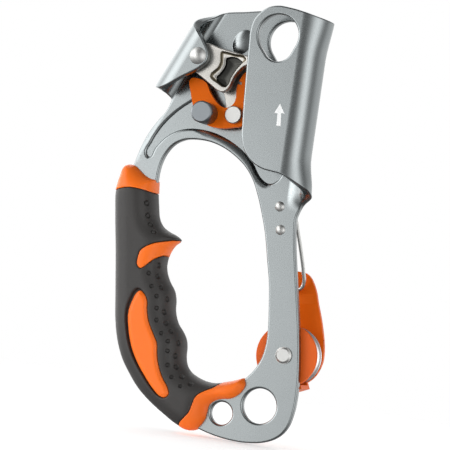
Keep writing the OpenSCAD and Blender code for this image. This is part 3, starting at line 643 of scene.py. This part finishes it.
def nets(field):
    """Surface nets on the grid: one vertex in each cell that the zero level crosses, and a
    quad round each grid edge that it crosses."""
    inside = field < 0
    nx, ny, nz = field.shape
    cells = (nx - 1, ny - 1, nz - 1)
    total = np.zeros(cells + (3,))
    hits = np.zeros(cells)
    for axis in range(3):
        for p in (0, 1):
            for q in (0, 1):
                lo = [slice(0, -1)] * 3
                hi = [slice(0, -1)] * 3
                others = [i for i in range(3) if i != axis]
                for s in (lo, hi):
                    s[others[0]] = slice(p, cells[others[0]] + p)
                    s[others[1]] = slice(q, cells[others[1]] + q)
                lo[axis] = slice(0, cells[axis])
                hi[axis] = slice(1, cells[axis] + 1)
                a, b = field[tuple(lo)], field[tuple(hi)]
                cross = (a < 0) != (b < 0)
                t = np.where(cross, a / np.where(a == b, 1, a - b), 0)
                hits += cross
                total[..., axis] += np.where(cross, t, 0)
                total[..., others[0]] += cross * p
                total[..., others[1]] += cross * q
    on = hits > 0
    index = -np.ones(cells, int)
    index[on] = np.arange(int(on.sum()))
    at = np.argwhere(on)
    local = total[on] / hits[on][:, None]
    org = np.array([gx[0], gy[0], gz[0]])
    verts = org + (at + local) * STEP
    quads = []
    for axis in range(3):
        b, c = [(1, 2), (2, 0), (0, 1)][axis]
        lo = [slice(None)] * 3
        hi = [slice(None)] * 3
        lo[axis], hi[axis] = slice(0, -1), slice(1, None)
        cross = inside[tuple(lo)] != inside[tuple(hi)]
        pick = np.argwhere(cross)
        ok = (pick[:, b] > 0) & (pick[:, c] > 0) & (pick[:, b] < cells[b]) & (pick[:, c] < cells[c])
        pick = pick[ok]
        ids = []
        for db, dc in ((-1, -1), (0, -1), (0, 0), (-1, 0)):
            q = pick.copy()
            q[:, b] += db
            q[:, c] += dc
            ids.append(index[q[:, 0], q[:, 1], q[:, 2]])
        ids = np.stack(ids, 1)
        start_in = inside[pick[:, 0], pick[:, 1], pick[:, 2]]
        ids[~start_in] = ids[~start_in][:, ::-1]
        quads.append(ids)
    return verts, np.concatenate(quads)


def surface_point(x, z, side):
    """Point and outward normal of the grip's smooth surface over (x, z)."""
    def height(a, b):
        i, j = (a - gx[0]) / STEP, (b - gz[0]) / STEP
        i0, j0 = int(i), int(j)
        fi, fj = i - i0, j - j0
        h = half_y[i0:i0 + 2, j0:j0 + 2]
        return float((h[0] * (1 - fi) + h[1] * fi) @ np.array([1 - fj, fj]))
    e = 0.8
    n = np.array([-(height(x + e, z) - height(x - e, z)) / (2 * e), side,
                  -(height(x, z + e) - height(x, z - e)) / (2 * e)])
    return np.array([x, side * height(x, z), z]), n / np.linalg.norm(n)


SPOT_ALONG, SPOT_ACROSS = 1.6, 1.25     # how near a spot's centre, and its radius, is moved
RING_AT, RING_WIDE = 0.72, 0.3          # a ring's crest and half width, in radii


def press(ob, spots):
    """Round dimples or rings pressed into a piece, after its faces there are divided: each
    spot is (point, normal, radius, depth, ring)."""
    bm = bmesh.new()
    bm.from_mesh(ob.data)
    co = np.array([v.co[:] for v in bm.verts]) / MM
    near = np.zeros(len(co), bool)
    for p, _, r, _, _ in spots:
        near |= np.linalg.norm(co - p, axis=1) < r + 1.0
    faces = [f for f in bm.faces if any(near[v.index] for v in f.verts)]
    edges = list({e for f in faces for e in f.edges})
    bmesh.ops.subdivide_edges(bm, edges=edges, cuts=3, use_grid_fill=True)
    bm.verts.ensure_lookup_table()
    co = np.array([v.co[:] for v in bm.verts]) / MM
    move = np.zeros_like(co)
    for p, n, r, depth, ring in spots:
        w = co - p
        along = w @ n
        off = np.linalg.norm(w - along[:, None] * n, axis=1)
        ok = (np.abs(along) < SPOT_ALONG) & (off < r * SPOT_ACROSS)
        if ring:
            d = depth * np.clip(1 - np.abs(off / r - RING_AT) / RING_WIDE, 0, 1)
        else:
            d = depth * (1 - ease((off / r - 0.45) / 0.65))
        move[ok] -= d[ok, None] * n
    for v, m in zip(bm.verts, move):
        if m.any():
            v.co += Vector(m * MM)
    bm.to_mesh(ob.data)
    bm.free()
    ob.data.polygons.foreach_set("use_smooth", [True] * len(ob.data.polygons))


def grip_piece(name, field, body, mat, like):
    v, q = nets(field)
    return add_mesh(name, v, [tuple(int(i) for i in f) for f in q], body, mat, like=like)


surface = side_field()
GAP = 0.12                              # seam between the rubber and the trims
FAR = -99                               # well inside, where the bed does not cut
DIMPLE_R, SMALL_DIMPLE_R, DIMPLE_DEPTH = 1.45, 1.15, 0.95
RING_R, RING_DEPTH = 1.5, 0.6
d_top, d_bot, d_blade = field2(top_region), field2(bottom_region), field2(blade_region)
cut = half_y[:, None, :] - bed[:, None, :]
carved = np.maximum(surface, np.where(bed[:, None, :] > 0, YY - cut, FAR))
rubber_field = np.maximum(carved, np.maximum(np.maximum(d_top, d_bot), d_blade)[:, None, :] + GAP)
grip_body = grip_piece("grip_body", rubber_field, "frame_body", rubber,
                       ("grip_front", "grip_rear"))
press(grip_body, [(*surface_point(x, z, side), SMALL_DIMPLE_R if i % 2 else DIMPLE_R,
                   DIMPLE_DEPTH, False)
                  for i, (x, z) in enumerate(dimples) for side in (-1, 1)]
      + [(*surface_point(x, z, side), RING_R, RING_DEPTH, True)
         for x, z in rings_up for side in (-1, 1)])
for name, region, stand, node in (("collar_top", d_top, 0.25, "top_collar"),
                                  ("collar_bottom", d_bot, 0.25, "bottom_collar"),
                                  ("blade", d_blade, 0.1, "finger_blade")):
    grip_piece(name, np.maximum(surface - stand, GAP - region[:, None, :]), "frame_body",
               plastic, (node,))
INLAY_DEPTH = 3.0
proud = 0.35 - 0.8 * (1 - ease(d_inlay / 1.6))
for name, sign, node in (("inlay_near", -1, "inlay_front"), ("inlay_far", 1, "inlay_rear")):
    sided = gy[None, :, None] * sign
    f = np.maximum(sided - (half_y + proud)[:, None, :],
                   (half_y - INLAY_DEPTH)[:, None, :] - sided)
    f = np.maximum(f, -d_inlay[:, None, :] - 0.1)
    grip_piece(name, f, "frame_body", plastic, (node,))

# ---- cam ------------------------------------------------------------------
CAM_P = (-50.0, 158.6)                  # the pivot
CAM_Y = (-12.4, -8.0, -4.6, -2.6)       # front face, back of the rim, flange front and back
BITE_FROM, BITE_TURN = -8, -19          # the biting face's arc, in degrees
BITE_R, BITE_GROW = 51, 4.5             # its radius at the top, and how that grows below
LEDGE = 1.2                             # width of the slope into the pocket
LEDGE_DEPTH, PIT_DEPTH, PIT_SLOPE = 1.2, 2.1, 0.17
TOOTH_ROWS, TOOTH_H, TOOTH_R, TOOTH_TIP_R, TOOTH_ROOT = 9, 1.5, 1.1, 0.15, 0.6
TOOTH_SIDES = 20
HUB_R = 5.9


def bite_angle(t):
    return math.radians(BITE_FROM + BITE_TURN * t)


def bite(t):
    """The biting face at t, from 0 at its top to 1 at its foot."""
    a, r = bite_angle(t), BITE_R + BITE_GROW * t
    return [CAM_P[0] + r * math.cos(a), CAM_P[1] + r * math.sin(a)]


cam_line = (
    [[-55.9, 158.6], [-55.2, 155.2], [-53.4, 152.4], [-50.6, 150.6], [-46.4, 148.1],
     [-42.4, 145.6], [-39.3, 143.8], [-37.1, 143.3], [-35, 144.3], [-33.8, 146.2],
     [-33.1, 148.6], [-32.1, 151.2], [-30.2, 154.1], [-27.8, 156.6], [-24.6, 157.6],
     [-20.6, 155.4], [-17, 151], [-13.6, 145], [-9.6, 138.6], [-5, 134.6]]
    + [bite(i / 8) + ([1] if i == 8 else []) for i in range(8, -1, -1)]
    + [[-2.4, 155.6], [-8, 158.4], [-16, 160.2], [-26.8, 161.6], [-36.1, 163.1],
       [-41.2, 164], [-46.4, 165.4], [-49.4, 165.4], [-52.6, 163.9], [-55, 161.6]])
pocket = [
    [-40.6, 161.7], [-39.9, 162.6], [-38.5, 162.6], [-33.4, 161.9], [-28, 160.9],
    [-27.3, 159.6], [-28.7, 157.9], [-31.6, 153.8], [-33.3, 150.3], [-34.2, 147.1],
    [-35.5, 145.6], [-37.2, 145.6], [-40, 147], [-43, 148.6], [-44.2, 149.9],
    [-43.9, 151.6], [-42.5, 153.1], [-41, 154.8], [-40.3, 157.2], [-40.5, 159.6]]
pit = [
    [-37.7, 159.4], [-36.4, 160.1], [-30.4, 159.2], [-29.3, 158.2], [-31.4, 155.6],
    [-33.4, 152.6], [-34.6, 149.4], [-35.2, 147], [-36.2, 146.2], [-37.6, 146.5],
    [-41, 149.1], [-41.2, 150.2], [-40.1, 151.6], [-38.5, 154], [-37.7, 156.7]]
flange_line = [
    [-52, 160], [-50, 153], [-45, 150], [-41.4, 146.6], [-38.4, 142.6], [-37, 138.6],
    [-36.4, 134], [-34.6, 130.2], [-30.9, 128.5], [-27.4, 130.2], [-25.6, 133.6],
    [-25.6, 140], [-25, 148], [-23, 154], [-20, 158], [-26.8, 161.4], [-38, 162.6],
    [-48, 163.6]]
pocket_line = ccw(curve(pocket, 5))


def clip(p, x, side):
    """The part of a closed outline where side * x is above side * the given x."""
    out = []
    for a, b in zip(p, np.roll(p, -1, 0)):
        ia, ib = side * (a[0] - x) >= 0, side * (b[0] - x) >= 0
        if ia:
            out.append(a)
        if ia != ib:
            out.append(a + (b - a) * (x - a[0]) / (b[0] - a[0]))
    return np.array(out)


def level(o):
    """A flat face at height o, for plate()."""
    return lambda x, z: np.full(len(x), o)


def cam_sink(pocket_edge, pit_edge, half):
    """The cam's front face: a slope down to the pocket's ledge, then a hopper-shaped pit."""
    def height(x, z):
        p = np.stack([x, z], 1)
        da, db = distance(p, pocket_edge), distance(p, pit_edge)
        return (-half + LEDGE_DEPTH * ease((da + 0.05) / LEDGE)
                + PIT_DEPTH * ease((db + 0.12) / 0.5) + PIT_SLOPE * np.clip(db, 0, 2.2))
    return height


def tooth(at, d, up):
    """A cone on the biting face at a point, along d and leaning up."""
    across = np.array([0, 1, 0])
    tip, root = at + d * TOOTH_H + up * 0.25, at - d * TOOTH_ROOT
    turns = [2 * math.pi * j / TOOTH_SIDES for j in range(TOOTH_SIDES)]
    round_ = [math.cos(a) * across + math.sin(a) * up for a in turns]
    ring, top = [root + TOOTH_R * q for q in round_], [tip + TOOTH_TIP_R * q for q in round_]
    out = [0.85 * q + 0.5 * d for q in round_]
    nrm = [q / np.linalg.norm(q) for q in out] * 2 + [d, -d]
    n, faces = TOOTH_SIDES, []
    for j in range(n):
        k = (j + 1) % n
        faces += [(j, n + j, n + k, k), (n + j, 2 * n, n + k), (k, 2 * n + 1, j)]
    return np.array(ring + top + [tip + d * 0.05, root]), faces, np.array(nrm)


def cam_mesh():
    vs, ns, fs = [], [], []

    def take(points, faces, nrm):
        base = sum(len(v) for v in vs)
        vs.append(points)
        ns.append(nrm)
        fs.extend(tuple(base + i for i in f) for f in faces)

    def take_plate(edge, rim, y0, y1, paths=(), front=None):
        half = (y1 - y0) / 2
        flat, nrm, faces = plate([(edge, rim, 1)], paths, front or level(-half), level(half))
        take(np.stack([flat[:, 0], flat[:, 2] + y0 + half, flat[:, 1]], 1), faces, nrm)

    line = ccw(spread(curve(cam_line, 5), 0.9))
    a_line, b_line = ccw(spread(curve(pocket, 5), 0.6)), ccw(spread(curve(pit, 5), 0.6))
    na, nb = normals_out(a_line), normals_out(b_line)
    paths = [(a_line - na * o, True) for o in (-0.05, 0.1, 0.3, 0.5, 0.75, 1.0, 1.15, 1.35)]
    paths += [(b_line - nb * o, True) for o in (-0.12, 0.0, 0.13, 0.26, 0.38, 0.9, 1.4, 1.9)]
    take_plate(line, 0.55, CAM_Y[0], CAM_Y[1], paths,
               cam_sink(a_line, b_line, (CAM_Y[1] - CAM_Y[0]) / 2))
    # solid sector behind the teeth, the rear flange and the hub
    flange = ccw(spread(curve(flange_line, 5), 0.9))
    take_plate(ccw(spread(clip(line, -21.0, 1), 0.9)), 0.3, CAM_Y[1], CAM_Y[2])
    take_plate(ccw(spread(clip(flange, -17.0, -1), 0.9)), 0.35, CAM_Y[2], CAM_Y[3])
    take_plate(circle(CAM_P, HUB_R, 64), 0.2, CAM_Y[1], CAM_Y[3])
    for i in range(TOOTH_ROWS):
        t = (i + 0.5) / TOOTH_ROWS
        q, a = bite(t), bite_angle(t)
        d, up = np.array([math.cos(a), 0, math.sin(a)]), np.array([-math.sin(a), 0, math.cos(a)])
        for shift in ((-2.4, 0, 2.4) if i % 2 == 0 else (-1.2, 1.2)):
            take(*tooth(np.array([q[0], shift - 8.5, q[1]]), d, up))
    return np.concatenate(vs), fs, np.concatenate(ns)


verts, faces, normals = cam_mesh()
casting = add_mesh("cam_casting", verts, faces, "cam_body", cast, normals=normals,
                   like=("cam",))
casting.data.materials.append(cast_step_painted_shade)
casting.data.materials.append(cast_pit_painted_shade)
# painted shade: the pit and the slope into the pocket get the darker cast materials, told by their
# depth behind the front face
FACE_TOP, LEDGE_BOTTOM, PIT_BOTTOM = 0.04, 1.35, 4.3
for face in casting.data.polygons:
    depth = [casting.data.vertices[i].co.y / MM - CAM_Y[0] for i in face.vertices]
    if face.normal.y > -0.05 or max(depth) >= PIT_BOTTOM:
        continue
    if min(depth) > LEDGE_BOTTOM:
        face.material_index = 2
    elif min(depth) > FACE_TOP and face.center.x / MM < -20:
        inner = distance(np.array([[face.center.x / MM, face.center.z / MM]]), pocket_line)[0]
        face.material_index = 1 if 0 < inner < LEDGE + 0.1 else 0

# ---- carried-over nodes ---------------------------------------------------
finish = {
    "cam_pivot": steel, "cam_spring": dark_spring, "lever_rivet": steel,
    "safety_lever": lever_orange, "lever_spring": dark_spring, "thumb_knob": knob_metal,
    "knob_stud": steel, "pulley_axle": steel, "guard_disc": disc_orange,
    "sheave": sheave_metal, "bearing_outer": steel, "bearing_inner": steel,
    "bearing_balls": spring, "axle_spacers": steel, "bracket": orange_metal,
    "gate_block": black, "gate_rivets": steel, "wire_gate": spring}
soften = {"safety_lever": 0.45, "thumb_knob": 0.35, "bracket": 0.4,
          "guard_disc": 0.4, "sheave": 0.25, "gate_block": 0.4}
for name, mat in finish.items():
    ob = nodes[name]
    ob.data.materials.clear()
    ob.data.materials.append(mat)
    if name in soften:
        weld = ob.modifiers.new("weld", "WELD")
        weld.merge_threshold = 1e-6
        edge = ob.modifiers.new("edge", "BEVEL")
        edge.width = soften[name] * MM
        edge.segments = 3
        edge.limit_method = "ANGLE"
        edge.angle_limit = math.radians(38)
        edge.harden_normals = True

# brightness of the studio's walls: (degrees, radiance)
KEY_AZ = [(-180, 0.5), (-130, 1.6), (-103, 1.9), (-85, 1.6), (-76, 1.35), (-68, 1.3),
          (-60.5, 1.66), (-53.5, 2.34), (-46, 2.8), (-33, 2.87), (-27.5, 2.6), (-22.7, 2.0),
          (-18.7, 1.12), (-13, 0.52), (-5, 0.0), (180, 0.0)]
KEY_EL = [(-90, 0.06), (-50, 0.08), (-20, 0.25), (-8, 0.45), (-3, 0.62), (0, 1.12), (2, 1.35),
          (4, 1.0), (7, 0.8), (34, 0.84), (52, 0.35), (90, 0.12)]
KEY_LEAN = 0.7      # the key box leans: degrees of azimuth for each degree up
FILL_AZ = [(-180, 0.6), (-120, 0.35), (-60, 0.2), (-20, 0.35), (-6, 0.3), (6, 0.26), (16, 0.35),
           (27, 0.8), (38, 1.6), (50, 2.0), (60, 1.7), (70, 0.95), (80, 0.45), (93, 0.42),
           (106, 0.7), (122, 0.9), (150, 0.9), (180, 0.8)]
FILL_EL = [(-90, 0.08), (-40, 0.12), (-18, 0.5), (-6, 0.9), (3, 1.0), (8, 0.85), (22, 0.6),
           (40, 0.3), (90, 0.22)]

# ---- camera, floor and light ----------------------------------------------
EYE = np.array([315.79, -1022.14, 49.80])
AIM = np.array([-27.11, -9.07, 81.54])
ROLL = math.radians(8.3)
fwd = (AIM - EYE) / np.linalg.norm(AIM - EYE)
right0 = np.cross(fwd, [0, 0, 1.0])
right0 /= np.linalg.norm(right0)
up0 = np.cross(right0, fwd)
right = math.cos(ROLL) * right0 + math.sin(ROLL) * up0
up = -math.sin(ROLL) * right0 + math.cos(ROLL) * up0
cam_data = bpy.data.cameras.new("camera")
cam_data.lens, cam_data.sensor_width = 182.3, 36.0
cam_data.clip_start, cam_data.clip_end = 0.05, 50.0
camera = bpy.data.objects.new("camera", cam_data)
camera.matrix_world = Matrix((
    (right[0], up[0], -fwd[0], EYE[0] * MM), (right[1], up[1], -fwd[1], EYE[1] * MM),
    (right[2], up[2], -fwd[2], EYE[2] * MM), (0, 0, 0, 1)))
bpy.context.scene.collection.objects.link(camera)
bpy.context.scene.camera = camera

floor_z = float(low0[2]) / MM - 0.3
FLOOR_X = -35.0
FLOOR_SIDES, FLOOR_RADII = 96, (60, 120, 240, 480, 900, 1800, 4000, 12000)
# a disc of rings round one centre point
turns = [2 * math.pi * i / FLOOR_SIDES for i in range(FLOOR_SIDES)]
floor_points = [(FLOOR_X, 0.0, floor_z)]
for r in FLOOR_RADII:
    floor_points += [(FLOOR_X + r * math.cos(a), r * math.sin(a), floor_z) for a in turns]
floor_faces = []
for i in range(FLOOR_SIDES):
    j = (i + 1) % FLOOR_SIDES
    floor_faces.append((0, 1 + i, 1 + j))
for k in range(len(FLOOR_RADII) - 1):
    inner, outer = 1 + k * FLOOR_SIDES, 1 + (k + 1) * FLOOR_SIDES
    for i in range(FLOOR_SIDES):
        j = (i + 1) % FLOOR_SIDES
        floor_faces.append((inner + i, outer + i, outer + j, inner + j))
pale = material("pale_floor", (0.93, 0.93, 0.93), 0.0, 0.9, 30, 0.0, 0.004, 0.02, 3.0, spec=0.1)
# the floor thins out to the white of the background
pt = pale.node_tree
pt.nodes["Principled BSDF"].inputs["Emission Color"].default_value = (1, 1, 1, 1)
pt.nodes["Principled BSDF"].inputs["Emission Strength"].default_value = 0.35
clear = pt.nodes.new("ShaderNodeBsdfTransparent")
fade = pt.nodes.new("ShaderNodeMixShader")
where_at = pt.nodes.new("ShaderNodeTexCoord")
flatten = pt.nodes.new("ShaderNodeVectorMath")
flatten.operation = "MULTIPLY"
flatten.inputs[1].default_value = (1, 1, 0)
reach = pt.nodes.new("ShaderNodeVectorMath")
reach.operation = "LENGTH"
span = pt.nodes.new("ShaderNodeMapRange")
span.interpolation_type = "SMOOTHSTEP"
span.inputs["From Min"].default_value = 0.16     # metres from the origin
span.inputs["From Max"].default_value = 0.6
pt.links.new(where_at.outputs["Object"], flatten.inputs[0])
pt.links.new(flatten.outputs[0], reach.inputs[0])
pt.links.new(reach.outputs["Value"], span.inputs["Value"])
pt.links.new(span.outputs[0], fade.inputs[0])
pt.links.new(pt.nodes["Principled BSDF"].outputs[0], fade.inputs[1])
pt.links.new(clear.outputs[0], fade.inputs[2])
pt.links.new(fade.outputs[0], pt.nodes["Material Output"].inputs["Surface"])
floor = add_mesh("floor", floor_points, floor_faces, None, pale)
floor.visible_glossy = False     # the metal doesn't mirror it

# the camera sees a white background; the object is lit by the soft boxes of a studio,
# which are bands of the sky: brightness by azimuth (from -Y toward +X) times by elevation
world = bpy.data.worlds.new("studio")
bpy.context.scene.world = world
world.use_nodes = True
wt = world.node_tree
link = wt.links.new


def sky_ramp(source, low, high, stops, top):
    """A smooth curve of brightness over an angle in degrees."""
    span = wt.nodes.new("ShaderNodeMapRange")
    span.inputs["From Min"].default_value = math.radians(low)
    span.inputs["From Max"].default_value = math.radians(high)
    link(source, span.inputs["Value"])
    ramp = wt.nodes.new("ShaderNodeValToRGB")
    ramp.color_ramp.interpolation = "EASE"
    el = ramp.color_ramp.elements
    for i, (angle, level) in enumerate(stops):
        at = (angle - low) / (high - low)
        e = el[i] if i < 2 else el.new(at)
        e.position = at
        e.color = (level / top, level / top, level / top, 1)
    link(span.outputs[0], ramp.inputs[0])
    return ramp.outputs["Color"]


def sky_math(op, *values):
    """A sum of numbers and node outputs."""
    node = wt.nodes.new("ShaderNodeMath")
    node.operation = op
    for i, v in enumerate(values):
        if isinstance(v, (int, float)):
            node.inputs[i].default_value = v
        else:
            link(v, node.inputs[i])
    return node.outputs[0]


direction = wt.nodes.new("ShaderNodeTexCoord")
split = wt.nodes.new("ShaderNodeSeparateXYZ")
link(direction.outputs["Generated"], split.inputs[0])
azimuth = sky_math("ARCTAN2", split.outputs["X"], sky_math("MULTIPLY", split.outputs["Y"], -1.0))
elevation = sky_math("ARCSINE", split.outputs["Z"])
TOP = 4.0        # divides the azimuth curves, so that no ramp goes over 1
EXPOSURE = 1.56
leaning = sky_math("ADD", azimuth, sky_math("MULTIPLY", elevation, KEY_LEAN))
key = sky_math("MULTIPLY", sky_ramp(leaning, -180, 180, KEY_AZ, TOP),
               sky_ramp(elevation, -90, 90, KEY_EL, 1.0))
fill = sky_math("MULTIPLY", sky_ramp(azimuth, -180, 180, FILL_AZ, TOP),
                sky_ramp(elevation, -90, 90, FILL_EL, 1.0))
light = sky_math("MULTIPLY", sky_math("ADD", key, fill), TOP * EXPOSURE)
room = wt.nodes.new("ShaderNodeBackground")
link(light, room.inputs["Strength"])
backdrop = wt.nodes["Background"]
backdrop.inputs["Color"].default_value = (1, 1, 1, 1)
backdrop.inputs["Strength"].default_value = 1.0
rays = wt.nodes.new("ShaderNodeLightPath")
pick = wt.nodes.new("ShaderNodeMixShader")
link(rays.outputs["Is Camera Ray"], pick.inputs[0])
link(room.outputs[0], pick.inputs[1])
link(backdrop.outputs[0], pick.inputs[2])
link(pick.outputs[0], wt.nodes["World Output"].inputs["Surface"])
world.cycles.sampling_method = "MANUAL"
world.cycles.sample_map_resolution = 512
bpy.context.scene.view_settings.view_transform = "Standard"
bpy.context.scene.view_settings.look = "None"
